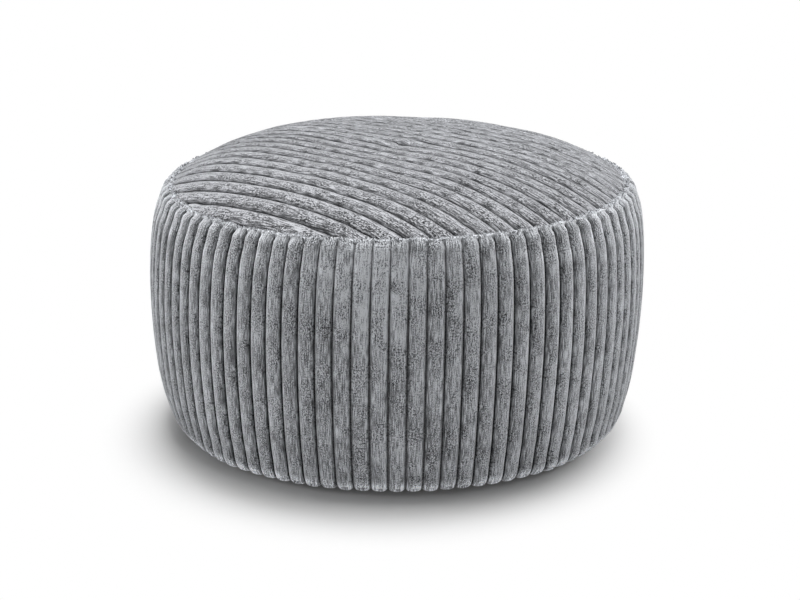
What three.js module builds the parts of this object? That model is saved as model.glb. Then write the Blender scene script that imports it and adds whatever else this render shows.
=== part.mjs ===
// A round floor pouf in jumbo cord: a crowned round of cord on a stuffed band of upright wales, with a round
// of plain cloth under it. Lengths are in millimetres, +Z is up and the front is -Y.
// A wale is one rounded rib of the cord's pile, and a channel is the narrow gap between two wales.

import * as THREE from 'three';

// The stuffed body, measured over the crests of the wales.
const WIDEST_RADIUS = 260;
const SEAM_RADIUS = 237.7;
const SEAM_HEIGHT = 260.8;
const CROWN_RISE = 42.2;
const CROWN_POWER = 3.96;

// The cord. The wales of the top are bowed: they turn aside by TOP_WALE_BOW times their length squared.
const WALE_HEIGHT = 5.5;
const WALE_FLANK = 0.134;
const BAND_WALES = 88;
const TOP_WALE_PITCH = 17.54;
const TOP_WALE_SHIFT = -5.3;
const TOP_WALE_TURN = THREE.MathUtils.degToRad(40);
const TOP_WALE_BOW = 2.3e-4;
const TOP_WALE_END = 6;

// The cloths under the wales, the gap between two pieces that touch, and the depth that the seam is sunk.
const CORD_BACKING = 2.5;
const BASE_CLOTH = 2;
const BASE_RADIUS = 218;
const PIECE_GAP = 0.3;
const SEAM_SINK = 2;

// The stuffing has settled unevenly: what a point at the seam's height has moved by, as lengths or as
// shares of its distance from the axis.
const SHOULDER_TO_RIGHT = 3.2;
const FRONT_RISE = 0.0205;
const RIGHT_RISE = 0.0056;
const CORNER_RISE = 0.0044;
const THREE_WAY_RISE = 0.0018;
const SIDES_SPREAD = 0.0081;

// The band from its foot up to the seam. height is a share of SEAM_HEIGHT and radius of WIDEST_RADIUS, and
// channel says how deep the channels are there, as a share of WALE_HEIGHT.
const BAND_LEVELS = [
  { height: 0.0, radius: 0.868, channel: 0.5 },
  { height: 0.03, radius: 0.918, channel: 1 },
  { height: 0.13, radius: 0.957, channel: 1 },
  { height: 0.34, radius: 0.988, channel: 1 },
  { height: 0.6, radius: 1.0, channel: 1 },
  { height: 0.82, radius: 0.989, channel: 1 },
  { height: 0.94, radius: 0.961, channel: 1 },
  { height: 0.985, radius: 0.938, channel: 0.8 },
];

// Facets: corners across one wale, sides of a smooth ring, rings of a dome and lines along a top wale.
const WALE_CORNERS = [1, WALE_FLANK, 0, WALE_FLANK];
const RING_SIDES = 88;
const DOME_RINGS = [0.34, 0.64, 0.85, 1];
const TOP_LINES = [0, 0.5, 0.77];
const BASE_SIDES = 64;

// Corners of two rings are level where their angles are this close, in radians.
const LEVEL_ANGLE = 1e-6;

const FOOT_HEIGHT = BASE_CLOTH + PIECE_GAP;
const CORD_THICKNESS = WALE_HEIGHT + CORD_BACKING;
// The seat under the top cloth is dropped by more than the gap, which narrows where the crown is steep.
const SEAT_DROP = CORD_THICKNESS + 1.25 * PIECE_GAP;
const PANEL_RADIUS = SEAM_RADIUS * Math.cos(Math.PI / RING_SIDES);

/** Gathers the corners and faces of one closed body. Rings run anticlockwise, seen from above. */
class Body {
  constructor() {
    this.corners = [];
    this.faces = [];
  }

  /** Adds a row of points and gives back their numbers. */
  add(points) {
    const first = this.corners.length;
    this.corners.push(...points);
    return points.map((point, index) => first + index);
  }

  /** The direction of a ring's corner from the axis, a full turn more once the ring starts again. */
  angleAt(ring, index) {
    const { x, y } = this.corners[ring[index % ring.length]];
    return Math.atan2(y, x) + 2 * Math.PI * Math.floor(index / ring.length);
  }

  /** Turns a ring of corners so that it starts at its smallest angle. */
  fromSmallestAngle(ring) {
    const angles = ring.map((corner, index) => this.angleAt(ring, index));
    const start = angles.indexOf(Math.min(...angles));
    return [...ring.slice(start), ...ring.slice(0, start)];
  }

  /** How far a ring's first corner is from the axis. */
  reachOf(ring) {
    const { x, y } = this.corners[ring[0]];
    return Math.hypot(x, y);
  }

  /**
   * Joins two rings, of any numbers of corners. The surface runs from the first to the second. Where two
   * corners are level, the inner ring steps first, so that two surfaces that face each other match.
   */
  zip(first, second) {
    const a = this.fromSmallestAngle(first);
    const b = this.fromSmallestAngle(second);
    const lead = this.reachOf(a) < this.reachOf(b) ? LEVEL_ANGLE : -LEVEL_ANGLE;
    let i = 0;
    let j = 0;
    while (i < a.length || j < b.length) {
      const ahead = this.angleAt(b, j + 1) - this.angleAt(a, i + 1);
      const stepA = j >= b.length || (i < a.length && ahead + lead >= 0);
      const cornerA = a[i % a.length];
      const cornerB = b[j % b.length];
      if (stepA) {
        this.faces.push([cornerA, a[(i + 1) % a.length], cornerB]);
        i += 1;
      } else {
        this.faces.push([cornerA, b[(j + 1) % b.length], cornerB]);
        j += 1;
      }
    }
  }

  /** Joins each ring of a list to the next one. */
  zipAll(rings) {
    rings.slice(1).forEach((ring, index) => this.zip(rings[index], ring));
  }

  /** Closes a ring with a fan about a point on the axis, facing up or down. */
  close(ring, height, facesUp) {
    const [centre] = this.add([new THREE.Vector3(0, 0, height)]);
    ring.forEach((corner, index) => {
      const next = ring[(index + 1) % ring.length];
      this.faces.push(facesUp ? [corner, next, centre] : [next, corner, centre]);
    });
  }

  geometry() {
    const geometry = new THREE.BufferGeometry();
    const settled = this.corners.map((corner) => settle(corner));
    geometry.setFromPoints(settled);
    geometry.setIndex(this.faces.flat());
    geometry.computeVertexNormals();
    return geometry;
  }
}

/** Moves a point of the even body to where the uneven stuffing has let it settle. */
function settle(point) {
  const share = Math.max(0, (point.z - FOOT_HEIGHT) / (SEAM_HEIGHT - FOOT_HEIGHT)) ** 2;
  const around = Math.atan2(point.x, -point.y);
  const reach = Math.hypot(point.x, point.y);
  const spread = 1 - SIDES_SPREAD * Math.cos(2 * around);
  const tilt = RIGHT_RISE * point.x - FRONT_RISE * point.y;
  const waves = reach * (CORNER_RISE * Math.sin(2 * around) + THREE_WAY_RISE * Math.cos(3 * around));
  return new THREE.Vector3(
    (point.x + share * SHOULDER_TO_RIGHT) * spread,
    point.y * spread,
    point.z + share * (tilt + waves),
  );
}

/** The height of the crests of the top's wales, at a distance from the axis. */
function crownHeight(reach) {
  return SEAM_HEIGHT + CROWN_RISE * (1 - (reach / SEAM_RADIUS) ** CROWN_POWER);
}

/** A smooth ring. */
function ringPoints(radius, height) {
  return Array.from({ length: RING_SIDES }, (_, side) => {
    const angle = (2 * Math.PI * side) / RING_SIDES;
    return new THREE.Vector3(radius * Math.cos(angle), radius * Math.sin(angle), height);
  });
}

/** The rings of the smooth dome under the top cloth, from the axis outwards, dropped below the crests. */
function domeRings(body, drop) {
  return DOME_RINGS.map((share) => {
    const radius = share * SEAM_RADIUS;
    return body.add(ringPoints(radius, crownHeight(radius) - drop));
  });
}

/** One level of the band: a ring of wales and channels, with a wale facing the front. */
function waleRing({ height, radius, channel }) {
  const corners = BAND_WALES * WALE_CORNERS.length;
  return Array.from({ length: corners }, (_, corner) => {
    const angle = (2 * Math.PI * (corner + 2)) / corners - Math.PI / 2;
    const depth = WALE_HEIGHT * channel * WALE_CORNERS[corner % WALE_CORNERS.length];
    const reach = WIDEST_RADIUS * radius - depth;
    const level = FOOT_HEIGHT + height * (SEAM_HEIGHT - FOOT_HEIGHT);
    return new THREE.Vector3(reach * Math.cos(angle), reach * Math.sin(angle), level);
  });
}

/** The filled band: its wales outside, and a domed ledge on top that carries the top cloth. */
function sideBand() {
  const body = new Body();
  const levels = BAND_LEVELS.map((level) => body.add(waleRing(level)));
  const seat = domeRings(body, SEAT_DROP).reverse();
  const lipRadius = SEAM_RADIUS + PIECE_GAP;
  const lip = body.add(ringPoints(lipRadius, SEAM_HEIGHT - SEAM_SINK));
  const ledge = body.add(ringPoints(lipRadius, crownHeight(SEAM_RADIUS) - SEAT_DROP));
  const foot = body.add(ringPoints(BASE_RADIUS, FOOT_HEIGHT));
  body.close(foot, FOOT_HEIGHT, false);
  body.zipAll([foot, ...levels, lip, ledge, ...seat]);
  body.close(seat.at(-1), crownHeight(0) - SEAT_DROP, true);
  return body.geometry();
}

/** Distances across the wales at which the top cloth has a line of corners, with how deep each one is. */
function topColumns() {
  const reach = PANEL_RADIUS - 1;
  const step = TOP_WALE_PITCH / WALE_CORNERS.length;
  const first = Math.ceil((-reach - TOP_WALE_SHIFT) / step + 0.5);
  const last = Math.floor((reach - TOP_WALE_SHIFT) / step - 0.5);
  const columns = [{ across: -reach, depth: 0 }];
  for (let corner = first; corner <= last; corner += 1) {
    const turn = ((corner % WALE_CORNERS.length) + WALE_CORNERS.length) % WALE_CORNERS.length;
    columns.push({ across: TOP_WALE_SHIFT + corner * step, depth: WALE_HEIGHT * WALE_CORNERS[turn] });
  }
  columns.push({ across: reach, depth: 0 });
  return columns;
}

/** Half the length of the bowed line that crosses the panel at this distance. */
function halfLength(across) {
  const bow = 1 + 2 * TOP_WALE_BOW * across;
  const room = PANEL_RADIUS ** 2 - across ** 2;
  return Math.sqrt((2 * room) / (bow + Math.sqrt(bow ** 2 + 4 * TOP_WALE_BOW ** 2 * room)));
}

/** Distances along a wale, from one end at the seam to the other. */
function alongWale(across) {
  const half = halfLength(across);
  const full = half - Math.min(TOP_WALE_END, half / 4);
  const right = TOP_LINES.map((share) => share * full);
  right.push(full, half);
  return [...right.slice(1).map((distance) => -distance).reverse(), ...right];
}

/** The crowned top cloth: wales above, and a smooth dome below. */
function topPanel() {
  const body = new Body();
  const under = domeRings(body, CORD_THICKNESS);
  const columns = topColumns();
  const grid = columns.map(({ across, depth }, column) => {
    const distances = alongWale(across);
    const points = distances.map((along, line) => {
      const bowed = across + TOP_WALE_BOW * along ** 2;
      const x = along * Math.cos(TOP_WALE_TURN) + bowed * Math.sin(TOP_WALE_TURN);
      const y = bowed * Math.cos(TOP_WALE_TURN) - along * Math.sin(TOP_WALE_TURN);
      const atEdge = line === 0 || line === distances.length - 1;
      const atSide = column === 0 || column === columns.length - 1;
      const below = atEdge || atSide ? SEAM_SINK : depth;
      return new THREE.Vector3(x, y, crownHeight(Math.hypot(x, y)) - below);
    });
    return body.add(points);
  });
  const lastLine = grid[0].length - 1;
  for (let column = 0; column + 1 < grid.length; column += 1) {
    for (let line = 0; line < lastLine; line += 1) {
      const [a, b] = [grid[column][line], grid[column][line + 1]];
      const [c, d] = [grid[column + 1][line + 1], grid[column + 1][line]];
      body.faces.push([a, b, c], [a, c, d]);
    }
  }
  const edge = [
    ...grid[0].slice(0, lastLine),
    ...grid.slice(0, -1).map((column) => column[lastLine]),
    ...grid.at(-1).slice(1).reverse(),
    ...grid.slice(1).map((column) => column[0]).reverse(),
  ];
  body.close(under[0], crownHeight(0) - CORD_THICKNESS, false);
  body.zipAll([...under, edge]);
  return body.geometry();
}

/** The round of plain cloth that the pouf stands on. */
function basePanel() {
  const geometry = new THREE.CylinderGeometry(BASE_RADIUS, BASE_RADIUS, BASE_CLOTH, BASE_SIDES);
  geometry.rotateX(Math.PI / 2);
  geometry.translate(0, 0, BASE_CLOTH / 2);
  return geometry;
}

const cord = new THREE.MeshStandardMaterial({ color: 0x7f8186, roughness: 0.95, metalness: 0 });
const topCord = new THREE.MeshStandardMaterial({ color: 0x96989c, roughness: 0.95, metalness: 0 });
const baseCloth = new THREE.MeshStandardMaterial({ color: 0x3a3b3e, roughness: 0.9, metalness: 0 });

const pouf = new THREE.Group();
for (const [name, geometry, material] of [
  ['side_band', sideBand(), cord],
  ['top_panel', topPanel(), topCord],
  ['base_panel', basePanel(), baseCloth],
]) {
  const piece = new THREE.Mesh(geometry, material);
  piece.name = name;
  pouf.add(piece);
}

// The origin is under the middle of the pouf's outline, on the floor.
const outline = new THREE.Box3().setFromObject(pouf);
const middle = outline.getCenter(new THREE.Vector3());
pouf.position.set(-middle.x, -middle.y, 0);

export default pouf;
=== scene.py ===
"""A round floor pouf in jumbo cord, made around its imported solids. Metres, +Z up, -Y to the front.

A wale is one rounded rib of the cord's pile, and a channel is the narrow gap between two wales.
"""

import math

import bpy
import numpy as np
from mathutils import Matrix, Vector
from mathutils.kdtree import KDTree


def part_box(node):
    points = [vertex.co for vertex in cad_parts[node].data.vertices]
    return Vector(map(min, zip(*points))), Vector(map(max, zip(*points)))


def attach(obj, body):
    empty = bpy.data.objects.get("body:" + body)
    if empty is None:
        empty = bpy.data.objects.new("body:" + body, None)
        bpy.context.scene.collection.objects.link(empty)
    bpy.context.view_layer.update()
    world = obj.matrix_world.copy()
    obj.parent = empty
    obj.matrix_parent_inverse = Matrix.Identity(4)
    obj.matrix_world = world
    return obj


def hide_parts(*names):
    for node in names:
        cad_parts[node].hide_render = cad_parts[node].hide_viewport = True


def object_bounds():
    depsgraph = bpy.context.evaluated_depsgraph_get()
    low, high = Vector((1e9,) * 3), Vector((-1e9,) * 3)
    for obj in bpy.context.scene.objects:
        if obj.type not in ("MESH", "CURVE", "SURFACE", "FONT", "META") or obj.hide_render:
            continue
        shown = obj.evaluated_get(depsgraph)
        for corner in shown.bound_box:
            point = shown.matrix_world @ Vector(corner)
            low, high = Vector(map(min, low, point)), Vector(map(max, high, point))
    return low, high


MM = 0.001

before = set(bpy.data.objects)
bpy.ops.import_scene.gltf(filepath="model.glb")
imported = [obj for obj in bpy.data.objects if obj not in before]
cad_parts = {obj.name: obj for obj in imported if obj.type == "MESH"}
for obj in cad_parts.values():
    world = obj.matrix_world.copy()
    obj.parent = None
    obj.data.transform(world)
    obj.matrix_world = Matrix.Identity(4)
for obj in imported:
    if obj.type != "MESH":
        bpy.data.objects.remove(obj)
cad_low, cad_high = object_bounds()

# The even body over the crests of its wales, as shares of the widest radius.
SIDES_SPREAD = 0.0081
WIDEST_RADIUS = (cad_high.x - cad_low.x) / 2 / (1 + SIDES_SPREAD)
SEAM_RADIUS = 0.9142 * WIDEST_RADIUS
SEAM_HEIGHT = 1.0031 * WIDEST_RADIUS
CROWN_RISE = 0.1623 * WIDEST_RADIUS
CROWN_POWER = 3.96
FOOT_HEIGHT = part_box("side_band")[0].z
BASE_RADIUS = (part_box("base_panel")[1].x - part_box("base_panel")[0].x) / 2
BASE_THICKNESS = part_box("base_panel")[1].z

# How the stuffing has settled, at the seam's height: lengths, or shares of the distance from the axis.
SHOULDER_TO_RIGHT = 0.0123 * WIDEST_RADIUS
FRONT_RISE = 0.0205
RIGHT_RISE = 0.0056
CORNER_RISE = 0.0044
THREE_WAY_RISE = 0.0018

# How far the sides of the foot are drawn in under the pouf at the floor, and over what height. The drawing-in
# starts where x is TUCK_START of the distance from the axis, and is full where it is TUCK_RAMP more.
LEFT_TUCK = 10 * MM
RIGHT_TUCK = 5.5 * MM
TUCK_HEIGHT = 24 * MM
TUCK_START = 0.68
TUCK_RAMP = 0.3

# The seam isn't quite level: about how far it wanders up and down, how far above or below it and how far
# beside it that is felt, and how many waves of each kind there are round the pouf.
SEAM_WANDER = 1.1 * MM
WANDER_HEIGHT = 9 * MM
WANDER_REACH = 16 * MM
WANDER_WAVES = (21, 37, 58)

# The outline of the band: share of the height from its foot to the seam, and share of WIDEST_RADIUS.
BAND_OUTLINE = {
    "height": [0, 0.008, 0.02, 0.05, 0.1, 0.18, 0.3, 0.44, 0.58, 0.7, 0.8, 0.88, 0.94, 0.98, 1],
    "radius": [0.877, 0.911, 0.93, 0.945, 0.954, 0.97, 0.984, 0.995, 1, 0.9975]
    + [0.991, 0.98, 0.961, 0.947, 0.914],
}
OUTLINE_POINTS = 400

# How far the band's channels stray from even spacing as the cloth was eased on to the ring, by degrees from
# the front.
CHANNEL_DRIFT = {
    "angle": [0, 14, 30, 45, 60, 75, 110, 150, 190, 240, 285, 302, 317, 331, 346, 360],
    "wales": [0.06, 0.05, -0.06, -0.06, 0.01, 0.08, 0.0, 0.06, -0.05, 0.03, 0.14, 0.21, 0.2, 0.1, 0.02, 0.06],
}

# The wales of the top: how many lie across SEAM_RADIUS, and the number of the line through the middle.
TOP_WALES = 13.84
TOP_MIDDLE = 0.063
TOP_WALE_TURN = math.radians(40)

# How the top's wales fan out, bow and sway, in wales at SEAM_RADIUS. The growths are by distance across them.
# Each wale is traced through ALONG_POINTS places.
FAN_ACROSS = 0.42
FAN_ALONG = 1.21
FAN_TWIST = 1.19
BOW = 1.06
BOW_GROWTH = 2.85
SWAY = 2.14
SWAY_GROWTH = 3.31
ALONG_POINTS = 801

# The cord.
WALE_HEIGHT = 5.5 * MM
CORD_BACKING = 2.5 * MM
BAND_WALES = 88
WALE_COLUMNS = 14
BAND_ROW_SPACING = 5.8 * MM
TOP_ROW_SPACING = 5 * MM
SEAM_ROWS = [0, 0.5 * MM, 1.2 * MM, 2.1 * MM, 3.2 * MM, 5 * MM, 8 * MM]
FOOT_ROWS = [0, 2 * MM, 4 * MM, 5.5 * MM, 7 * MM, 8.5 * MM, 10 * MM, 12 * MM, 13.6 * MM, 14.6 * MM]
FOOT_ROWS += [15.5 * MM, 16.4 * MM, 17.3 * MM, 18.4 * MM, 22 * MM]
PIECE_GAP = 0.3 * MM

# The stuffing doesn't move the cloth at a sewn edge, and moves it freely this far from one.
HELD_WIDTH = 20 * MM

# The seam pulls the front of the band flat: the share of the wales' height that is lost, how far down that is
# felt, and how far round to each side.
SEAM_PULL = 0.55
SEAM_PULL_REACH = 14 * MM
SEAM_PULL_TURN = math.radians(22)

# The lip of pile along the seam: the share of the wales' height that it adds, and how far down it reaches.
LIP_LIFT = 0.3
LIP_REACH = 4 * MM

# Broad patches on the band's pile: painted light under the seam at the front, painted shade close under the
# seam, a darker patch high on the left and a paler one on the right. For each: how far under the seam its
# middle is, how far it reaches up and down from it, where it is in radians from the front to the right, how
# far it reaches round, how much it shows in the pile's colour, and how far it opens the channels.
PAINTED_LIGHT_UNDER_SEAM = {"under": 48 * MM, "reach": 42 * MM, "turn": -math.radians(5), "width": math.radians(12)}
DARKER_HIGH_LEFT = {"under": 40 * MM, "reach": 36 * MM, "turn": -1.2, "width": 0.26, "shows": 0.55}
PAINTED_SHADE_BY_SEAM = {"under": 9 * MM, "reach": 5.5 * MM, "turn": 0.15, "width": 1.3, "shows": 0.7}
STRETCHED = {"turn": 1.12, "width": 0.28, "opens": 0.25, "shows": 0.8}

# The band's channels are opened this much towards the seam, over this distance, which lightens their painted
# shade.
SEAM_OPENING = 0.2
SEAM_OPENING_REACH = 50 * MM

# The band's nap was brushed from both sides towards a line this far to the left of the front, and turns from
# one side to the other the faster, the greater NAP_CHANGE is. The top's nap leans one way.
NAP_TURN = math.radians(19)
NAP_CHANGE = 3
TOP_LEAN = 0.6

# How high the top's pile stands, as a share of the band's, and how much higher where the cloth is slack. The
# slack place is given along and across the wales, as shares of SEAM_RADIUS.
TOP_PILE = 0.7
SLACK_PILE = 0.1
SLACK = {"along": -0.25, "across": -0.8, "reach": 0.5}

# Over the front of the crown the top's channels open, which lightens their painted shade, and shade is
# painted on its pile. Light is painted on its pile at the left and the right, from PALE_START of SEAM_RADIUS
# outwards.
FRONT_OPENING = 0.5
FRONT_PAINTED_DARKER = 0.35
SIDES_PAINTED_PALER = 0.5
PALE_START = 0.45
PALE_RAMP = 0.45
PALE_POWER = 1.5


def linear(code):
    """An sRGB hex colour as linear red, green, blue and alpha."""
    parts = [int(code[i : i + 2], 16) / 255 for i in (1, 3, 5)]
    return [p / 12.92 if p <= 0.04045 else ((p + 0.055) / 1.055) ** 2.4 for p in parts] + [1]


def add(tree, kind, inputs=None, **settings):
    """Adds a node to a tree with its settings, and sets or links its inputs."""
    made = tree.nodes.new(kind)
    for key, value in settings.items():
        setattr(made, key, value)
    for key, value in (inputs or {}).items():
        if isinstance(value, bpy.types.NodeSocket):
            tree.links.new(value, made.inputs[key])
        else:
            made.inputs[key].default_value = value
    return made


# ---------------------------------------------------------------- the form of the stuffed body

NEVER_ZERO = 1e-9


def soft_bump(values, middle, reach):
    """1 at a middle, and fading away on both sides of it over a reach."""
    return np.exp(-(((values - middle) / reach) ** 2))


def tuck(x, y, z):
    """The share of their distance from the axis that points keep where the sides of the foot are drawn in."""
    reach = np.hypot(x, y) + NEVER_ZERO
    side = x / reach
    share = np.clip((np.abs(side) - TUCK_START) / TUCK_RAMP, 0, 1)
    drawn = np.where(side < 0, LEFT_TUCK, RIGHT_TUCK) * share**2 * (3 - 2 * share)
    return 1 - drawn * np.exp(-z / TUCK_HEIGHT) * np.clip(reach / SEAM_RADIUS, 0, 1) ** 2 / reach


def settle(points):
    """Moves points of the even body to where the uneven stuffing has let them settle."""
    x, y, z = points[..., 0], points[..., 1], points[..., 2]
    share = np.clip((z - FOOT_HEIGHT) / (SEAM_HEIGHT - FOOT_HEIGHT), 0, None) ** 2
    around = np.arctan2(x, -y)
    reach = np.hypot(x, y)
    spread = (1 - SIDES_SPREAD * np.cos(2 * around)) * tuck(x, y, z)
    waves = reach * (CORNER_RISE * np.sin(2 * around) + THREE_WAY_RISE * np.cos(3 * around))
    lift = share * (RIGHT_RISE * x - FRONT_RISE * y + waves)
    above = (z - SEAM_HEIGHT) / WANDER_HEIGHT
    beside = (reach - SEAM_RADIUS) / WANDER_REACH
    near_seam = np.exp(-(above**2) - beside**2)
    lift += SEAM_WANDER * near_seam * sum(np.sin(n * around + n**2) for n in WANDER_WAVES) / 2
    return np.stack([(x + share * SHOULDER_TO_RIGHT) * spread, y * spread, z + lift], -1)


def smooth_through(xs, ys, at):
    """Values at some places on a curve that passes through points without overshooting."""
    xs, ys = np.array(xs, float), np.array(ys, float)
    steps = np.diff(xs)
    slopes = np.diff(ys) / steps
    product = slopes[1:] * slopes[:-1]
    total = slopes[1:] + slopes[:-1]
    inner = np.divide(2 * product, total, out=np.zeros(len(total)), where=product > 0)
    tangents = np.concatenate([[slopes[0]], inner, [slopes[-1]]])
    i = np.clip(np.searchsorted(xs, at, side="right") - 1, 0, len(steps) - 1)
    h = steps[i]
    t = (at - xs[i]) / h
    return (
        (2 * t**3 - 3 * t**2 + 1) * ys[i]
        + (t**3 - 2 * t**2 + t) * h * tangents[i]
        + (3 * t**2 - 2 * t**3) * ys[i + 1]
        + (t**3 - t**2) * h * tangents[i + 1]
    )


def band_line():
    """The band's outline as distances along it, radii and heights, from the foot to the seam."""
    share = (1 - np.cos(np.linspace(0, math.pi, OUTLINE_POINTS))) / 2
    radius = WIDEST_RADIUS * smooth_through(BAND_OUTLINE["height"], BAND_OUTLINE["radius"], share)
    height = FOOT_HEIGHT + share * (SEAM_HEIGHT - FOOT_HEIGHT)
    along = np.concatenate([[0], np.cumsum(np.hypot(np.diff(radius), np.diff(height)))])
    return along, radius, height


def crown_height(reach):
    """The height of the even crown over its crests, at a distance from the axis."""
    return SEAM_HEIGHT + CROWN_RISE * (1 - (reach / SEAM_RADIUS) ** CROWN_POWER)


def sunk(radius, height, depth):
    """An outline moved inwards by a depth, at right angles to itself."""
    slope_r, slope_z = np.gradient(radius), np.gradient(height)
    size = np.hypot(slope_r, slope_z)
    return radius - depth * slope_z / size, height + depth * slope_r / size


def rows_between(length):
    """Distances along a band's wale from its foot: close together at its ends, and even between them."""
    foot = np.array(FOOT_ROWS)
    seam = length - np.array(SEAM_ROWS)[::-1]
    count = max(2, round((seam[0] - foot[-1]) / BAND_ROW_SPACING))
    return np.concatenate([foot[:-1], np.linspace(foot[-1], seam[0], count + 1), seam[1:]])


def make_mesh(name, points, faces, attributes=None):
    """A mesh object at the origin, with float attributes on its points."""
    mesh = bpy.data.meshes.new(name)
    mesh.from_pydata(points, [], faces)
    for key, values in (attributes or {}).items():
        made = mesh.attributes.new(key, "FLOAT", "POINT")
        made.data.foreach_set("value", np.asarray(values, np.float32).ravel())
    mesh.shade_smooth()
    mesh.update()
    made = bpy.data.objects.new(name, mesh)
    bpy.context.scene.collection.objects.link(made)
    return made


def lattice_faces(rows, columns, closed=True):
    """Quads between the rows of a lattice whose points are numbered row by row."""
    across = np.arange(columns if closed else columns - 1)
    beside = (across + 1) % columns
    below = np.arange(rows - 1)[:, None] * columns
    quads = np.stack([below + across, below + beside, below + columns + beside, below + columns + across], -1)
    return quads.reshape(-1, 4).tolist()


def on_ring(radius, height, angles):
    """Points at each radius and height of an outline, one row for each, at these angles from the front."""
    radius = np.atleast_1d(radius)[:, None]
    height = np.atleast_1d(height)[:, None]
    x = radius * np.sin(angles)
    y = -radius * np.cos(angles)
    return np.stack([x, y, height + 0 * x], -1)


# ---------------------------------------------------------------- how the stuffing fills the cover

# The rings of the form, and the innermost ring of its crown and base as a share of the outermost.
FORM_SIDES = 160
BAND_RINGS = 30
CROWN_RINGS = 18
BASE_RINGS = 6
CROWN_INNERMOST = 0.04
BASE_INNERMOST = 0.1

# The cloth starts inside its outline and is blown out for this many steps. What it strays is then evened out
# this many times, and capped.
START_INSIDE = 2 * MM
CLOTH_STEPS = 20
EVENINGS = 10
SWELL_CAP = 2.5 * MM

# A point moves as the form's nearest points do, blended over about this distance.
NEAREST = 4
BLEND_DISTANCE = 2 * MM


def swollen_form():
    """The cover under its stuffing's pressure, as points and how far each one strays from the outline."""
    along, radius, height = band_line()
    places = np.linspace(0, along[-1], BAND_RINGS)
    band_radius, band_height = (np.interp(places, along, values) for values in (radius, height))
    crown_reach = SEAM_RADIUS * np.linspace(1, CROWN_INNERMOST, CROWN_RINGS)[1:]
    base_reach = radius[0] * np.linspace(BASE_INNERMOST, 1, BASE_RINGS)[:-1]
    radii = np.concatenate([base_reach, band_radius, crown_reach])
    heights = np.concatenate([0 * base_reach + FOOT_HEIGHT, band_height, crown_height(crown_reach)])
    angles = np.linspace(0, 2 * math.pi, FORM_SIDES, endpoint=False)
    points = settle(on_ring(radii, heights, angles)).reshape(-1, 3)
    faces = lattice_faces(len(radii), FORM_SIDES)
    last = len(points) - FORM_SIDES
    faces += [list(range(FORM_SIDES))[::-1], list(range(last, last + FORM_SIDES))]
    form = make_mesh("form", points, faces)
    normals = np.array([v.normal for v in form.data.vertices])
    start = points - START_INSIDE * normals
    form.data.vertices.foreach_set("co", start.ravel())
    foot_row = len(base_reach)
    seam_row = foot_row + len(places) - 1
    held = form.vertex_groups.new(name="sewn")
    for row in (seam_row, *range(foot_row + 1)):
        held.add(list(range(row * FORM_SIDES, (row + 1) * FORM_SIDES)), 1.0, "REPLACE")
    cloth = form.modifiers.new("stuffing", "CLOTH")
    cloth.settings.quality = 6
    cloth.settings.mass = 0.4
    cloth.settings.tension_stiffness = 40
    cloth.settings.compression_stiffness = 20
    cloth.settings.bending_stiffness = 3
    cloth.settings.use_pressure = True
    cloth.settings.uniform_pressure_force = 4
    cloth.settings.shrink_min = -0.02
    cloth.settings.vertex_group_mass = "sewn"
    cloth.settings.effector_weights.gravity = 0
    for step in range(1, CLOTH_STEPS + 1):
        bpy.context.scene.frame_set(step)
    seen = form.evaluated_get(bpy.context.evaluated_depsgraph_get())
    moved = np.array([v.co for v in seen.data.vertices])
    bpy.context.scene.frame_set(1)
    swell = ((moved - points) * normals).sum(1).reshape(len(radii), FORM_SIDES)
    bpy.data.objects.remove(form)
    # The outline is that of the full pouf, so only the unevenness of each ring is kept, without its creases.
    swell -= swell.mean(1, keepdims=True)
    for _ in range(EVENINGS):
        swell = (np.roll(swell, 1, 1) + 2 * swell + np.roll(swell, -1, 1)) / 4
        swell[1:-1] = (swell[:-2] + 2 * swell[1:-1] + swell[2:]) / 4
    return points, np.clip(swell.ravel(), -SWELL_CAP, SWELL_CAP)


def swell_at(points, form_points, form_swell):
    """How far the stuffing has moved the cover outwards at some points."""
    tree = KDTree(len(form_points))
    for index, point in enumerate(form_points):
        tree.insert(point, index)
    tree.balance()
    out = np.empty(len(points))
    for i, point in enumerate(points):
        near = tree.find_n(point, NEAREST)
        weights = [1 / (distance + BLEND_DISTANCE) for _, _, distance in near]
        out[i] = sum(w * form_swell[index] for w, (_, index, _) in zip(weights, near)) / sum(weights)
    return out


# ---------------------------------------------------------------- the wales

# The lip along the seam is whole down to LIP_FULL from it, and gone at LIP_GONE.
LIP_FULL = 1.6 * MM
LIP_GONE = 4.2 * MM
# How high the pinch above a lobe is, and how wide, as a share of half a wale.
PINCH_HEIGHT = 1 * MM
PINCH_WIDTH = 0.36
# A wale that runs along the seam keeps this share of its height there.
ALONGSIDE_HEIGHT = 0.9
# The frayed ends of the pile: how far they reach from the seam, their size, and how strong they are at it.
FRAY_REACH = 5 * MM
FRAY_SIZE = 2.6 * MM
FRAY_STRENGTH = 2.0


def growing_tree(name, sizes, seeds):
    """A new tree of geometry nodes and its inputs: a piece, named sizes, seeds and a material."""
    tree = bpy.data.node_groups.new(name, "GeometryNodeTree")
    tree.interface.new_socket("Geometry", in_out="OUTPUT", socket_type="NodeSocketGeometry")
    tree.interface.new_socket("Geometry", in_out="INPUT", socket_type="NodeSocketGeometry")
    for values, kind in ((sizes, "NodeSocketFloat"), (seeds, "NodeSocketInt")):
        for key, value in values.items():
            socket = tree.interface.new_socket(key, in_out="INPUT", socket_type=kind)
            socket.default_value = value
    tree.interface.new_socket("Material", in_out="INPUT", socket_type="NodeSocketMaterial")
    return tree, tree.nodes.new("NodeGroupInput").outputs


def end_tree(tree, geometry, material):
    """Ends a tree of geometry nodes in real meshes that carry a material."""
    real = add(tree, "GeometryNodeRealizeInstances", {"Geometry": geometry}).outputs[0]
    dressed = add(tree, "GeometryNodeSetMaterial", {"Geometry": real, "Material": material}).outputs[0]
    add(tree, "NodeGroupOutput", {"Geometry": dressed})


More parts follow.
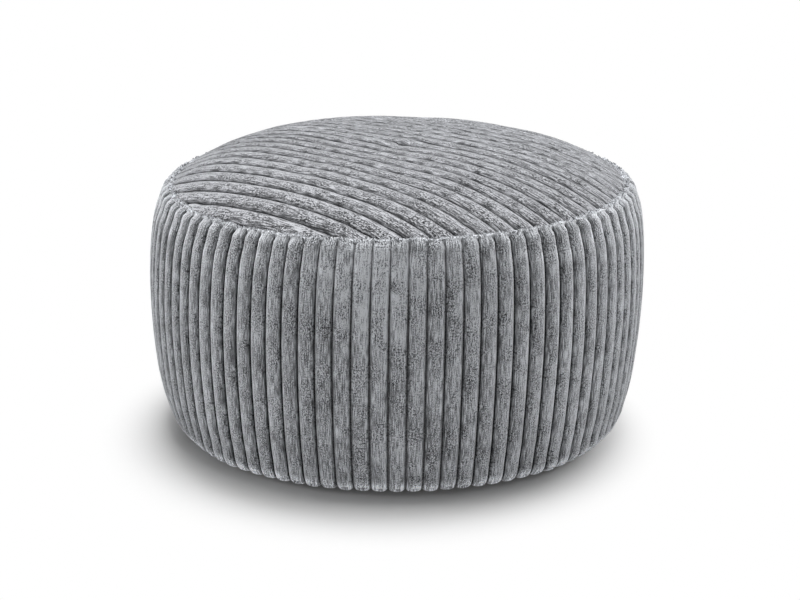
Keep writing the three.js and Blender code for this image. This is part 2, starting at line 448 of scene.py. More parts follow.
def corduroy_wales():
    """Raises wales on a cloth, and keeps in 'relief' how far up a wale each point looks, which sets the
    painted shade in its channels.

    The cloth carries 'across' in wales. In metres it carries its distance from the nearest sewn edge as
    'edge', from the top seam as 'seam', and from the foot as 'foot'. From 0 to 1 it carries how high its pile
    stands as 'pile', how squarely its wales run into the seam as 'square', and how open its channels are as
    'shallow'.
    """
    sizes = {
        "Wale Height": WALE_HEIGHT,
        "Roundness": 2.3,
        "End Rounding": 3.2 * MM,
        "End Height": 0.4,
        "Height Variation": 0.12,
        "Lump Size": 14 * MM,
        "Lump Height": 0.5 * MM,
        "Frayed Height": 1.4 * MM,
        "Lobe Start": 3 * MM,
        "Lobe Length": 9 * MM,
        "Crease": 16.4 * MM,
        "Pinch": 0.85,
        "Seam Lip": 0.95,
        "Pocket": 0.0,
        "Pocket Reach": 8 * MM,
        "Seed": 4.0,
    }
    tree, given = growing_tree("corduroy wales", sizes, {})
    across, edge, pile, foot, seam, square, shallow = (
        add(tree, "GeometryNodeInputNamedAttribute", {"Name": name}).outputs["Attribute"]
        for name in ("across", "edge", "pile", "foot", "seam", "square", "shallow")
    )
    place = add(tree, "ShaderNodeMath", {0: across}, operation="FRACT").outputs[0]
    off_crest = add(tree, "ShaderNodeMath", {0: place, 1: 0.5}, operation="SUBTRACT").outputs[0]
    side = add(tree, "ShaderNodeMath", {0: off_crest}, operation="ABSOLUTE").outputs[0]
    side = add(tree, "ShaderNodeMath", {0: side, 1: 2.0}, operation="MULTIPLY", use_clamp=True).outputs[0]
    fall = add(tree, "ShaderNodeMath", {0: side, 1: given["Roundness"]}, operation="POWER").outputs[0]
    # A channel can widen into a pocket where it runs squarely into the seam.
    pocket = add(tree, "ShaderNodeMath", {0: given["Pocket"], 1: square}, operation="MULTIPLY").outputs[0]
    pocket = add(
        tree,
        "ShaderNodeMapRange",
        {"Value": edge, "From Max": given["Pocket Reach"], "To Min": pocket, "To Max": 0.0},
    )
    fall = add(tree, "ShaderNodeMath", {0: fall, 1: pocket.outputs[0], 2: fall}, operation="MULTIPLY_ADD")
    # A wale of the band ends at the floor in a half-round lobe, pinched where it turns under.
    above = add(tree, "ShaderNodeMath", {0: foot, 1: given["Lobe Start"]}, operation="SUBTRACT").outputs[0]
    share = {0: above, 1: given["Lobe Length"]}
    above = add(tree, "ShaderNodeMath", share, operation="DIVIDE", use_clamp=True).outputs[0]
    tip = add(tree, "ShaderNodeMath", {0: 1.0, 1: above}, operation="SUBTRACT").outputs[0]
    tip = add(tree, "ShaderNodeMath", {0: tip, 1: 2.0}, operation="POWER").outputs[0]
    fall = add(tree, "ShaderNodeMath", {0: fall.outputs[0], 1: tip}, operation="ADD").outputs[0]
    rest = add(tree, "ShaderNodeMath", {0: 1.0, 1: fall}, operation="SUBTRACT", use_clamp=True).outputs[0]
    bulge = add(tree, "ShaderNodeMath", {0: rest}, operation="SQRT").outputs[0]
    turning = add(tree, "ShaderNodeMath", {0: foot, 1: given["Crease"], 2: PINCH_HEIGHT}, operation="COMPARE")
    middle = add(tree, "ShaderNodeMath", {0: side, 1: 0.0, 2: PINCH_WIDTH}, operation="COMPARE").outputs[0]
    pinched = add(tree, "ShaderNodeMath", {0: turning.outputs[0], 1: middle}, operation="MULTIPLY").outputs[0]
    pinched = add(tree, "ShaderNodeMath", {0: pinched, 1: given["Pinch"]}, operation="MULTIPLY").outputs[0]
    pinched = add(tree, "ShaderNodeMath", {0: 1.0, 1: pinched}, operation="SUBTRACT").outputs[0]
    bulge = add(tree, "ShaderNodeMath", {0: bulge, 1: pinched}, operation="MULTIPLY").outputs[0]
    # The pile stands up along the top seam as one pale lip, right across the channels.
    fade = {"From Min": LIP_FULL, "From Max": LIP_GONE, "To Min": given["Seam Lip"], "To Max": 0.0}
    lip = add(tree, "ShaderNodeMapRange", {"Value": seam, **fade}).outputs[0]
    bulge = add(tree, "ShaderNodeMath", {0: bulge, 1: lip}, operation="MAXIMUM").outputs[0]
    share = {0: edge, 1: given["End Rounding"]}
    near = add(tree, "ShaderNodeMath", share, operation="DIVIDE", use_clamp=True).outputs[0]
    short = add(tree, "ShaderNodeMath", {0: 1.0, 1: near}, operation="SUBTRACT").outputs[0]
    short = add(tree, "ShaderNodeMath", {0: short, 1: 2.0}, operation="POWER").outputs[0]
    full = add(tree, "ShaderNodeMath", {0: 1.0, 1: short}, operation="SUBTRACT", use_clamp=True).outputs[0]
    ends = add(tree, "ShaderNodeMath", {0: full}, operation="SQRT").outputs[0]
    lowest = {"To Min": ALONGSIDE_HEIGHT, "To Max": given["End Height"]}
    low = add(tree, "ShaderNodeMapRange", {"Value": square, **lowest}).outputs[0]
    ends = add(tree, "ShaderNodeMapRange", {"Value": ends, "To Min": low}).outputs[0]
    wale = add(tree, "ShaderNodeMath", {0: across}, operation="FLOOR").outputs[0]
    wale = add(tree, "ShaderNodeMath", {0: wale, 1: given["Seed"]}, operation="ADD").outputs[0]
    own = add(tree, "ShaderNodeTexWhiteNoise", {"W": wale}, noise_dimensions="1D").outputs["Value"]
    own = add(tree, "ShaderNodeMath", {0: own, 1: 0.5}, operation="SUBTRACT").outputs[0]
    varied = {0: own, 1: given["Height Variation"], 2: 1.0}
    own = add(tree, "ShaderNodeMath", varied, operation="MULTIPLY_ADD").outputs[0]
    relief = add(tree, "ShaderNodeMath", {0: bulge, 1: ends}, operation="MULTIPLY").outputs[0]
    position = add(tree, "GeometryNodeInputPosition").outputs[0]
    fineness = add(tree, "ShaderNodeMath", {0: 1.0, 1: given["Lump Size"]}, operation="DIVIDE").outputs[0]
    lumps = add(
        tree,
        "ShaderNodeTexNoise",
        {"Vector": position, "W": given["Seed"], "Scale": fineness, "Detail": 2.0, "Roughness": 0.6},
        noise_dimensions="4D",
    ).outputs[0]
    lumps = add(tree, "ShaderNodeMath", {0: lumps, 1: 0.5}, operation="SUBTRACT").outputs[0]
    lumps = add(tree, "ShaderNodeMath", {0: lumps, 1: given["Lump Height"]}, operation="MULTIPLY").outputs[0]
    lumpy = {0: own, 1: given["Wale Height"], 2: lumps}
    height = add(tree, "ShaderNodeMath", lumpy, operation="MULTIPLY_ADD").outputs[0]
    height = add(tree, "ShaderNodeMath", {0: height, 1: relief}, operation="MULTIPLY").outputs[0]
    # The cut ends of the pile are frayed at a seam.
    noise = {"Vector": position, "Scale": 1 / FRAY_SIZE, "Detail": 1.0}
    frayed = add(tree, "ShaderNodeTexNoise", noise).outputs[0]
    frayed = add(tree, "ShaderNodeMath", {0: frayed, 1: 0.5}, operation="SUBTRACT").outputs[0]
    scaled = {0: frayed, 1: given["Frayed Height"]}
    frayed = add(tree, "ShaderNodeMath", scaled, operation="MULTIPLY").outputs[0]
    fade = {"From Max": FRAY_REACH, "To Min": FRAY_STRENGTH, "To Max": 0.0}
    cut = add(tree, "ShaderNodeMapRange", {"Value": edge, **fade}).outputs[0]
    height = add(tree, "ShaderNodeMath", {0: frayed, 1: cut, 2: height}, operation="MULTIPLY_ADD").outputs[0]
    height = add(tree, "ShaderNodeMath", {0: height, 1: pile}, operation="MULTIPLY").outputs[0]
    normal = add(tree, "GeometryNodeInputNormal").outputs[0]
    offset = add(tree, "ShaderNodeVectorMath", {0: normal, "Scale": height}, operation="SCALE").outputs[0]
    # Shade is painted in a channel, but not at the end of a wale, nor where the channels are open.
    shown = add(tree, "ShaderNodeMapRange", {"Value": ends, "To Min": 0.6, "To Max": 1.0}).outputs[0]
    shown = add(tree, "ShaderNodeMath", {0: bulge, 1: shown}, operation="MULTIPLY").outputs[0]
    shown = add(tree, "ShaderNodeMapRange", {"Value": shallow, "To Min": shown, "To Max": 1.0}).outputs[0]
    kept = add(
        tree,
        "GeometryNodeStoreNamedAttribute",
        {"Geometry": given["Geometry"], "Name": "relief", "Value": shown},
        data_type="FLOAT",
        domain="POINT",
    ).outputs[0]
    raised = add(tree, "GeometryNodeSetPosition", {"Geometry": kept, "Offset": offset}).outputs[0]
    end_tree(tree, raised, given["Material"])
    return tree


def seam_tufts():
    """Ends of pile that stand up along the top seam, on a cloth that carries 'seam' in metres from it."""
    sizes = {
        "Tufts per Square Metre": 300000.0,
        "Reach": 2 * MM,
        "Tuft Length": 1.6 * MM,
        "Tuft Width": 0.8 * MM,
        "Lean": 1.05,
    }
    tree, given = growing_tree("seam tufts", sizes, {"Seed": 6})
    seam = add(tree, "GeometryNodeInputNamedAttribute", {"Name": "seam"}).outputs["Attribute"]
    close = add(tree, "FunctionNodeCompare", {0: seam, 1: given["Reach"]}, operation="LESS_THAN").outputs[0]
    roots = add(
        tree,
        "GeometryNodeDistributePointsOnFaces",
        {
            "Mesh": given["Geometry"],
            "Selection": close,
            "Density": given["Tufts per Square Metre"],
            "Seed": given["Seed"],
        },
    ).outputs
    pale = add(
        tree,
        "GeometryNodeStoreNamedAttribute",
        {"Geometry": roots["Points"], "Name": "relief", "Value": 1.0},
        data_type="FLOAT",
        domain="POINT",
    ).outputs[0]
    spike = {"Vertices": 3, "Radius Top": 0.0, "Radius Bottom": given["Tuft Width"]}
    tuft = add(tree, "GeometryNodeMeshCone", {**spike, "Depth": given["Tuft Length"]}).outputs["Mesh"]
    back = add(tree, "ShaderNodeMath", {0: given["Lean"], 1: -1.0}, operation="MULTIPLY").outputs[0]
    forth = given["Lean"]
    low = add(tree, "ShaderNodeCombineXYZ", {"X": back, "Y": back, "Z": 0.0}).outputs[0]
    high = add(tree, "ShaderNodeCombineXYZ", {"X": forth, "Y": forth, "Z": 2 * math.pi}).outputs[0]
    lean = add(
        tree,
        "FunctionNodeRandomValue",
        {"Min": low, "Max": high, "Seed": given["Seed"]},
        data_type="FLOAT_VECTOR",
    ).outputs[0]
    turned = add(
        tree,
        "FunctionNodeRotateRotation",
        {"Rotation": roots["Rotation"], "Rotate By": lean},
        rotation_space="LOCAL",
    ).outputs[0]
    # The smallest and the largest tuft, as shares of the size given.
    spread = {2: 0.5, 3: 1.4, "Seed": given["Seed"]}
    scale = add(tree, "FunctionNodeRandomValue", spread, data_type="FLOAT").outputs[1]
    tufts = add(
        tree,
        "GeometryNodeInstanceOnPoints",
        {"Points": pale, "Instance": tuft, "Rotation": turned, "Scale": scale},
    ).outputs[0]
    both = add(tree, "GeometryNodeJoinGeometry", {"Geometry": given["Geometry"]})
    tree.links.new(tufts, both.inputs["Geometry"])
    end_tree(tree, both.outputs[0], given["Material"])
    return tree


def grown(piece, tree, material, values=None):
    """The plain mesh that a tree of geometry nodes makes from a piece, which it then replaces."""
    modifier = piece.modifiers.new(tree.name, "NODES")
    modifier.node_group = tree
    for item in tree.interface.items_tree:
        if item.in_out == "INPUT" and item.name in (values or {}):
            modifier[item.identifier] = values[item.name]
        if item.in_out == "INPUT" and item.name == "Material":
            modifier[item.identifier] = material
    seen = piece.evaluated_get(bpy.context.evaluated_depsgraph_get())
    mesh = bpy.data.meshes.new_from_object(seen)
    name = piece.name
    bpy.data.objects.remove(piece)
    mesh.name = name
    made = bpy.data.objects.new(name, mesh)
    bpy.context.scene.collection.objects.link(made)
    return made


def point_normals(points, faces):
    """The normals of a mesh's points."""
    mesh = bpy.data.meshes.new("normals")
    mesh.from_pydata(points, [], faces)
    normals = np.empty(len(mesh.vertices) * 3)
    mesh.vertices.foreach_get("normal", normals)
    bpy.data.meshes.remove(mesh)
    return normals.reshape(-1, 3)


def column_places(wales):
    """Places across a row of wales, in wales: even round each wale's arch, so close at the channels."""
    arch = (1 - np.cos(np.linspace(0, math.pi, WALE_COLUMNS, endpoint=False))) / 2
    return (np.arange(wales)[:, None] + arch).ravel()


def band_drift(angle):
    """How far the band's channels wander from even spacing, in wales, at an angle from the front."""
    turn = np.mod(angle, 2 * math.pi)
    return smooth_through(np.radians(CHANNEL_DRIFT["angle"]), CHANNEL_DRIFT["wales"], turn)


# The rings of the band under the foot, as shares of BASE_RADIUS, and of its seat, as shares of SEAM_RADIUS.
UNDER_RINGS = [0.2, 0.97]
SEAT_RINGS = [1, 0.85, 0.64, 0.34, 0.1]


def side_band(form, cord):
    """The stuffed band: wales outside, a smooth foot below and a smooth seat under the top cloth."""
    along, crest_radius, crest_height = band_line()
    rows = rows_between(along[-1])
    channels = sunk(crest_radius, crest_height, WALE_HEIGHT)
    radius, height = (np.interp(rows, along, values) for values in channels)
    places = column_places(BAND_WALES)
    even = (places - BAND_WALES / 2 - 0.5) / BAND_WALES * 2 * math.pi
    angles = even + band_drift(even) / BAND_WALES * 2 * math.pi
    drop = WALE_HEIGHT + CORD_BACKING + PIECE_GAP
    seat_reach = SEAM_RADIUS * np.array(SEAT_RINGS)
    seat = crown_height(seat_reach) - drop
    radii = np.concatenate([BASE_RADIUS * np.array(UNDER_RINGS), radius, seat_reach])
    heights = np.concatenate([[FOOT_HEIGHT, FOOT_HEIGHT], np.maximum(height, FOOT_HEIGHT), seat])
    points = settle(on_ring(radii, heights, angles)).reshape(-1, 3)
    faces = lattice_faces(len(radii), len(places))
    last = len(points) - len(places)
    faces += [list(range(len(places)))[::-1], list(range(last, last + len(places)))]
    # The rows of points that carry the wales, and the points in them.
    wall = slice(len(UNDER_RINGS), len(UNDER_RINGS) + len(rows))
    outer = slice(wall.start * len(places), wall.stop * len(places))
    # The seam pulls the front of the cord flat as it is sewn, and the pile stands up along it in a lip.
    below = (rows[-1] - rows)[:, None]
    front = soft_bump(angles, 0, SEAM_PULL_TURN)
    pile = 1 - SEAM_PULL * soft_bump(below, 0, SEAM_PULL_REACH) * front
    over = (np.interp(rows, along, values) for values in (crest_radius, crest_height))
    crests = settle(on_ring(*over, angles)).reshape(-1, 3)
    lifted = 1 - pile + LIP_LIFT * soft_bump(below, 0, LIP_REACH) * (1 + np.cos(angles)) / 2
    points[outer] += lifted.ravel()[:, None] * (crests - points[outer])
    normals = point_normals(points, faces)
    swell = swell_at(points[outer], *form)
    edge = np.minimum(rows, rows[-1] - rows)
    hold = np.clip(edge / HELD_WIDTH, 0, 1)[:, None].repeat(len(places), 1).ravel()
    points[outer] += (swell * hold)[:, None] * normals[outer]
    shape = (len(radii), len(places))
    fields = {key: np.zeros(shape) for key in ("across", "along", "edge", "pile", "raised", "lean")}
    fields |= {key: np.ones(shape) for key in ("seam", "foot", "square", "shallow")}
    fields["across"] += places
    fields["along"][wall] = rows[:, None]
    fields["edge"][wall] = edge[:, None]
    fields["seam"][wall] = below
    fields["foot"][wall] = rows[:, None]
    fields["pile"][wall] = pile
    turn = np.mod(angles + math.pi, 2 * math.pi) - math.pi
    # The channels are stretched open towards the seam, most of all at the front, and on the right, which
    # lightens their painted shade.
    stretched = STRETCHED["opens"] * soft_bump(turn, STRETCHED["turn"], STRETCHED["width"])
    opened = SEAM_OPENING * soft_bump(below, 0, SEAM_OPENING_REACH) * (1 + front)
    fields["shallow"][wall] = opened + stretched
    # Light is painted on one patch of the pile under the seam, left of the front. Shade is painted close
    # beside the seam, the pile is darker high on the left, and it is a little paler on the right.
    brushed, flat = (
        soft_bump(below, patch["under"], patch["reach"]) * soft_bump(turn, patch["turn"], patch["width"])
        for patch in (PAINTED_LIGHT_UNDER_SEAM, DARKER_HIGH_LEFT)
    )
    beside = 1 - ((turn - PAINTED_SHADE_BY_SEAM["turn"]) / PAINTED_SHADE_BY_SEAM["width"]) ** 2
    pressed = soft_bump(below, PAINTED_SHADE_BY_SEAM["under"], PAINTED_SHADE_BY_SEAM["reach"]) * np.clip(beside, 0, 1)
    fields["raised"][wall] = brushed
    fields["raised"][wall] -= PAINTED_SHADE_BY_SEAM["shows"] * pressed
    fields["raised"][wall] += STRETCHED["shows"] * stretched - DARKER_HIGH_LEFT["shows"] * flat
    # The nap was brushed from both sides towards a line left of the front.
    fields["lean"] += np.clip(NAP_CHANGE * np.sin(angles + NAP_TURN), -1, 1)
    piece = make_mesh("side_band_cord", points, faces, fields)
    sizes = {"End Height": 0.75, "End Rounding": 2 * MM, "Roundness": 2.7}
    return grown(grown(piece, corduroy_tree, cord, sizes), tuft_tree, cord)


# A line's place is found in this many rounds, each from the one before.
ACROSS_ROUNDS = 8
# The top's lines are numbered out to TOP_SPREAD of SEAM_RADIUS on both sides. One that comes no further
# inside the panel's edge than GRAZING, a share of SEAM_RADIUS too, is left out.
TOP_SPREAD = 1.2
GRAZING = 0.0012
# The close rows at a short wale's ends take up this share of it at each end.
END_SHARE = 0.3
# A wale begins to count as running squarely into the seam where this share of the distance from the axis
# lies along it, and counts fully after SQUARE_RAMP more.
SQUARE_START = 0.35
SQUARE_RAMP = 0.35


def top_across(number, along):
    """Where a numbered line of the top's cord is, at a distance along it. Both are shares of SEAM_RADIUS.

    The cord was pulled about as the cover was sewn: its wales bow, sway from side to side and fan out.
    """
    bow = along**2
    sway = along**3
    across = number / TOP_WALES
    for _ in range(ACROSS_ROUNDS):
        fan = FAN_ACROSS * across**2 - FAN_ALONG * along * across - FAN_TWIST * along * across**2
        pull = (BOW + BOW_GROWTH * across) * bow - (SWAY + SWAY_GROWTH * across) * sway
        across = (number - TOP_MIDDLE - fan - pull) / TOP_WALES
    return across


def top_ends(number, reach):
    """Where a numbered line of the top's cord runs off the panel, to the left and to the right."""
    along = np.linspace(-1, 1, ALONG_POINTS)
    step = along[1] - along[0]
    off = along**2 + top_across(number[:, None], along) ** 2 - reach**2
    inside = off < 0
    first = inside.argmax(1)
    last = len(along) - 1 - inside[:, ::-1].argmax(1)
    rows = np.arange(len(number))
    left = along[first] - step * off[rows, first] / (off[rows, first] - off[rows, first - 1])
    right = along[last] + step * off[rows, last] / (off[rows, last] - off[rows, last + 1])
    return left, right


def top_panel(form, cord):
    """The crowned round of cord, with a thin turned-down edge at its seam."""
    reach = 1 - PIECE_GAP / SEAM_RADIUS
    numbers = column_places(math.ceil(2 * TOP_SPREAD * TOP_WALES)) - math.ceil(TOP_SPREAD * TOP_WALES)
    span = np.linspace(-1, 1, ALONG_POINTS)
    nearest = np.hypot(span, top_across(numbers[:, None], span)).min(1)
    numbers = numbers[nearest < reach - GRAZING]
    left, right = top_ends(numbers, reach)
    length = right - left
    ends = np.array(SEAM_ROWS) / SEAM_RADIUS
    count = round((2 * SEAM_RADIUS - 2 * SEAM_ROWS[-1]) / TOP_ROW_SPACING)
    near = np.minimum(1, END_SHARE * length / ends[-1]) * ends[:, None]
    middle = np.linspace(0, 1, count + 1)[1:-1, None]
    middle = left + near[-1] + middle * (length - 2 * near[-1])
    along = np.concatenate([left + near[:1], left + near, middle, (right - near)[::-1], right - near[:1]])
    across = top_across(numbers, along)
    along = along * SEAM_RADIUS
    across = across * SEAM_RADIUS
    x = along * math.cos(TOP_WALE_TURN) + across * math.sin(TOP_WALE_TURN)
    y = across * math.cos(TOP_WALE_TURN) - along * math.sin(TOP_WALE_TURN)
    distance = np.hypot(x, y)
    steep = CROWN_RISE * CROWN_POWER / SEAM_RADIUS * (distance / SEAM_RADIUS) ** (CROWN_POWER - 1)
    sink = WALE_HEIGHT * np.sqrt(1 + steep**2)
    # The top is pulled flatter than the band, and a little less so where the cloth is slack.
    from_slack = (along / SEAM_RADIUS - SLACK["along"]) ** 2 + (across / SEAM_RADIUS - SLACK["across"]) ** 2
    pile = TOP_PILE + SLACK_PILE * np.exp(-from_slack / SLACK["reach"] ** 2)
    pile[[0, -1]] = 0
    sink[[0, -1]] += CORD_BACKING
    points = settle(np.stack([x, y, crown_height(distance) - sink], -1)).reshape(-1, 3)
    rows, columns = along.shape
    faces = [face[::-1] for face in lattice_faces(rows, columns, closed=False)]
    normals = point_normals(points, faces)
    if normals[len(normals) // 2, 2] < 0:
        faces = [face[::-1] for face in faces]
        normals = -normals
    edge = np.maximum(SEAM_RADIUS - PIECE_GAP - distance, 0)
    hold = np.clip(edge / HELD_WIDTH, 0, 1).ravel()
    points = points + (swell_at(points, *form) * hold)[:, None] * normals
    fields = {"across": np.broadcast_to(numbers, along.shape), "along": along, "edge": edge, "pile": pile}
    fields["lean"] = np.full(along.shape, TOP_LEAN)
    # The top has no foot, and no lip of pile along its seam, so it is as good as a metre away from both.
    fields |= {key: np.ones(along.shape) for key in ("foot", "seam")}
    # The channels open a little where the cloth bends down over the front, which lightens their painted
    # shade.
    towards_front = np.clip(-y / SEAM_RADIUS, 0, 1)
    fields["shallow"] = FRONT_OPENING * towards_front
    fields["shallow"][[0, -1]] = 1
    fields["square"] = np.clip((np.abs(along) / distance - SQUARE_START) / SQUARE_RAMP, 0, 1)
    # Light is painted on the pile over the left and right of the crown, and shade over its front.
    painted_side_light = np.clip((np.abs(x) / SEAM_RADIUS - PALE_START) / PALE_RAMP, 0, 1) ** PALE_POWER
    fields["raised"] = SIDES_PAINTED_PALER * painted_side_light - FRONT_PAINTED_DARKER * towards_front
    piece = make_mesh("top_panel_cord", points, faces, fields)
    sizes = {"End Height": 0.3, "Pocket": 1.6, "Roundness": 2.5, "Lump Height": 0.3 * MM}
    return grown(piece, corduroy_tree, cord, sizes)


# The rings of the base cloth as shares of BASE_RADIUS, the points in each, and the rounding of its cut edge.
BASE_STEPS = [0.04, 0.2, 0.4, 0.6, 0.8, 0.93, 0.985]
BASE_SIDES = 192
BASE_ROUNDING = 0.3 * MM


def base_panel(cloth):
    """The round of plain cloth under the pouf, with its edge pressed under the band."""
    steps = BASE_RADIUS * np.array(BASE_STEPS)
    reach = np.concatenate([steps, [BASE_RADIUS - BASE_ROUNDING, BASE_RADIUS, BASE_RADIUS], steps[::-1]])
    lower = 0 * steps
    upper = 0 * steps + BASE_THICKNESS
    height = np.concatenate([lower, [0, BASE_ROUNDING, BASE_THICKNESS - BASE_ROUNDING], upper])
    angles = np.linspace(0, 2 * math.pi, BASE_SIDES, endpoint=False)
    spread = 1 - SIDES_SPREAD * np.cos(2 * angles)
    points = on_ring(reach, height, angles)
    points[..., :2] *= (spread * tuck(*np.moveaxis(points, -1, 0)))[..., None]
    faces = lattice_faces(len(reach), len(angles))
    last = points.size // 3 - len(angles)
    faces += [list(range(len(angles)))[::-1], list(range(last, last + len(angles)))]
    piece = make_mesh("base_cloth_round", points.reshape(-1, 3), faces)
    piece.data.materials.append(cloth)
    return piece


# ---------------------------------------------------------------- materials

# Patterns in the pile, by how many there are to a metre: fibres 1 mm wide, streaks of 3 mm, nap in patches of
# 16 mm, rough patches of 22 mm, and patches of 38 mm that a hand has brushed.
PER_METRE = {"fibres": 1000.0, "streaks": 320.0, "nap": 62.0, "rough": 45.0, "brushed": 26.0}
# Pits are nearly twice as wide as tufts.
PITS_PER_TUFT = 0.56
# Half the width of the painted highlight on the edge of a wale, in wales.
EDGE_LIGHT_HALF = 0.07
# How much the patches of painted light and shade, and the other darker and paler patches, show in the colour
# of the pile, and how much the wales differ from each other.
PAINTED_PATCHES_SHOW = 0.55
WALES_DIFFER = 0.14

# The colours of the pile, with shade painted in its channels and a painted sheen where it is seen from the
# side, the relief at which a channel's painted shade ends, the size of the tufts, the place of the painted
# highlight across a wale, and how strongly each thing shows, as a natural logarithm. Real tufts and fibres
# are finer than this. They are drawn coarser, most of all on the top, so that they show.
BAND_LOOK = {
    "crest": "#818386",
    "channel": "#0b0c0d",
    "painted grazing tone": "#a6a8ac",
    "channel edge": 0.88,
    "tuft": 0.9 * MM,
    "grain": 6.2,
    "fibres": 4.2,
    "brushed": 1.2,
    "nap": -0.2,
    "streaks": 0.9,
    "parting": 0.32,
    "edge light": 0.2,
    "edge light place": 0.84,
    "pits": -1.0,
    "seam": 0.12,
}
# The top's colours are a darker copy of the band's, which paints shade on the top, where the overhead light
# falls most. Its grazing colour is darker than its crest, and shade is painted along its seam.
TOP_LOOK = {
    **BAND_LOOK,
    "crest": "#797a7d",
    "channel": "#2b2c2e",
    "painted grazing tone": "#6d6e71",
    "channel edge": 0.94,
    "tuft": 1.4 * MM,
    "grain": 8.0,
    "fibres": 6.5,
    "brushed": 0.9,
    "streaks": 1.5,
    "edge light": 0.8,
    "edge light place": 0.76,
    "pits": -0.6,
    "seam": -0.35,
}


def cord_pile(name, pitch, look):
    """Brushed cotton pile: matt, with a painted sheen where the fibres are seen from the side, and painted
    shade in the channels.
    """
    material = bpy.data.materials.new(name)
    material.use_nodes = True
    tree = material.node_tree
    shader = tree.nodes["Principled BSDF"]
    across, along, relief, edge, foot, lean, raised = (
        add(tree, "ShaderNodeAttribute", attribute_name=key).outputs["Fac"]
        for key in ("across", "along", "relief", "edge", "foot", "lean", "raised")
    )
    place = add(tree, "ShaderNodeMath", {0: across}, operation="FRACT").outputs[0]
    wale = add(tree, "ShaderNodeMath", {0: across}, operation="FLOOR").outputs[0]
    own = add(tree, "ShaderNodeTexWhiteNoise", {"W": wale}, noise_dimensions="1D").outputs["Value"]
    width = add(tree, "ShaderNodeMath", {0: across, 1: pitch}, operation="MULTIPLY").outputs[0]
    cloth = add(tree, "ShaderNodeCombineXYZ", {"X": width, "Y": along, "Z": 0.0}).outputs[0]

    # Tufts of the pile, a little longer along the wale than across it.
    lengthways = add(tree, "ShaderNodeMapping", {"Vector": cloth, "Scale": (1, 0.6, 1)}).outputs[0]
    noise = {"Vector": lengthways, "Scale": 1 / look["tuft"], "Detail": 1.0, "Roughness": 0.7}
    grain = add(tree, "ShaderNodeTexNoise", noise).outputs[0]
    # Fibres combed along the wale.
    combed = add(tree, "ShaderNodeMapping", {"Vector": cloth, "Scale": (1, 0.08, 1)}).outputs[0]
    noise = {"Vector": combed, "Scale": PER_METRE["fibres"], "Detail": 1.0}
    fibres = add(tree, "ShaderNodeTexNoise", noise).outputs[0]
    # Pits where the tufts part, in loose clusters along the crests.
    noise = {"Vector": lengthways, "Scale": PITS_PER_TUFT / look["tuft"], "Detail": 0.0}
    pits = add(tree, "ShaderNodeTexNoise", noise).outputs[0]
    pits = add(tree, "ShaderNodeMapRange", {"Value": pits, "From Min": 0.54, "From Max": 0.64}).outputs[0]
    noise = {"Vector": cloth, "Scale": PER_METRE["rough"], "Detail": 1.0}
    rough = add(tree, "ShaderNodeTexNoise", noise).outputs[0]
    rough = add(tree, "ShaderNodeMapRange", {"Value": rough, "From Min": 0.46, "From Max": 0.58}).outputs[0]
    pits = add(tree, "ShaderNodeMath", {0: pits, 1: rough}, operation="MULTIPLY").outputs[0]
    coarse = add(tree, "ShaderNodeMath", {0: rough, 1: 0.8, 2: 0.6}, operation="MULTIPLY_ADD").outputs[0]
    coarse = add(tree, "ShaderNodeMath", {0: coarse, 1: look["grain"]}, operation="MULTIPLY").outputs[0]
    # The sides of a wale are brushed smoother than its crest.
    smoothing = {"From Min": 0.75, "From Max": 0.98, "To Min": 0.3}
    crested = add(tree, "ShaderNodeMapRange", {"Value": relief, **smoothing}).outputs[0]
    coarse = add(tree, "ShaderNodeMath", {0: coarse, 1: crested}, operation="MULTIPLY").outputs[0]
    # Where a hand has brushed the pile one way or the other, in patches over several wales.
    here = add(tree, "ShaderNodeTexCoord").outputs["Object"]
    noise = {"Vector": here, "Scale": PER_METRE["brushed"], "Detail": 2.0, "Roughness": 0.6}
    brushed = add(tree, "ShaderNodeTexNoise", noise).outputs[0]
    # Nap that lies the other way in long patches, with a fairly sharp edge.
    laid = add(tree, "ShaderNodeMapping", {"Vector": cloth, "Scale": (1, 0.4, 1)}).outputs[0]
    noise = {"Vector": laid, "Scale": PER_METRE["nap"], "Detail": 2.0, "Roughness": 0.6}
    nap = add(tree, "ShaderNodeTexNoise", noise).outputs[0]
    nap = add(tree, "ShaderNodeMapRange", {"Value": nap, "From Min": 0.53, "From Max": 0.6}).outputs[0]
    # Streaks along each wale.
    streaked = add(tree, "ShaderNodeMapping", {"Vector": cloth, "Scale": (1, 0.06, 1)}).outputs[0]
    noise = {"Vector": streaked, "Scale": PER_METRE["streaks"], "Detail": 1.0}
    streaks = add(tree, "ShaderNodeTexNoise", noise).outputs[0]

    # The pile parts along the crest, and is darker on the side that it was brushed from.
    line = add(tree, "ShaderNodeMath", {0: lean, 1: 0.095, 2: place}, operation="MULTIPLY_ADD").outputs[0]
    line = add(tree, "ShaderNodeMath", {0: streaks, 1: 0.3, 2: line}, operation="MULTIPLY_ADD").outputs[0]
    halves = {"From Min": 0.56, "From Max": 0.65, "To Min": -0.5, "To Max": 0.5}
    parting = add(tree, "ShaderNodeMapRange", {"Value": line, **halves}).outputs[0]
    parting = add(tree, "ShaderNodeMath", {0: parting, 1: lean}, operation="MULTIPLY").outputs[0]
    # A highlight is painted on the edge of the pile that stands up against the next wale, where the nap leans
    # one way.
    lit = {0: place, 1: look["edge light place"], 2: EDGE_LIGHT_HALF}
    painted_edge_light = add(tree, "ShaderNodeMath", lit, operation="COMPARE").outputs[0]
    painted_edge_light = add(tree, "ShaderNodeMath", {0: painted_edge_light, 1: lean}, operation="MULTIPLY", use_clamp=True).outputs[0]

    # The pile is paler along the band's seam, and shade is painted along the top's seam.
    fade = {"From Max": 6 * MM, "To Min": 1.0, "To Max": 0.0}
    lip = add(tree, "ShaderNodeMapRange", {"Value": edge, **fade}).outputs[0]
    # Light is painted on the pile that is bent round the lobe at the floor.
    fade = {"From Min": 20 * MM, "From Max": 28 * MM, "To Min": 1.0, "To Max": 0.0}
    painted_lobe_light = add(tree, "ShaderNodeMapRange", {"Value": foot, **fade}).outputs[0]

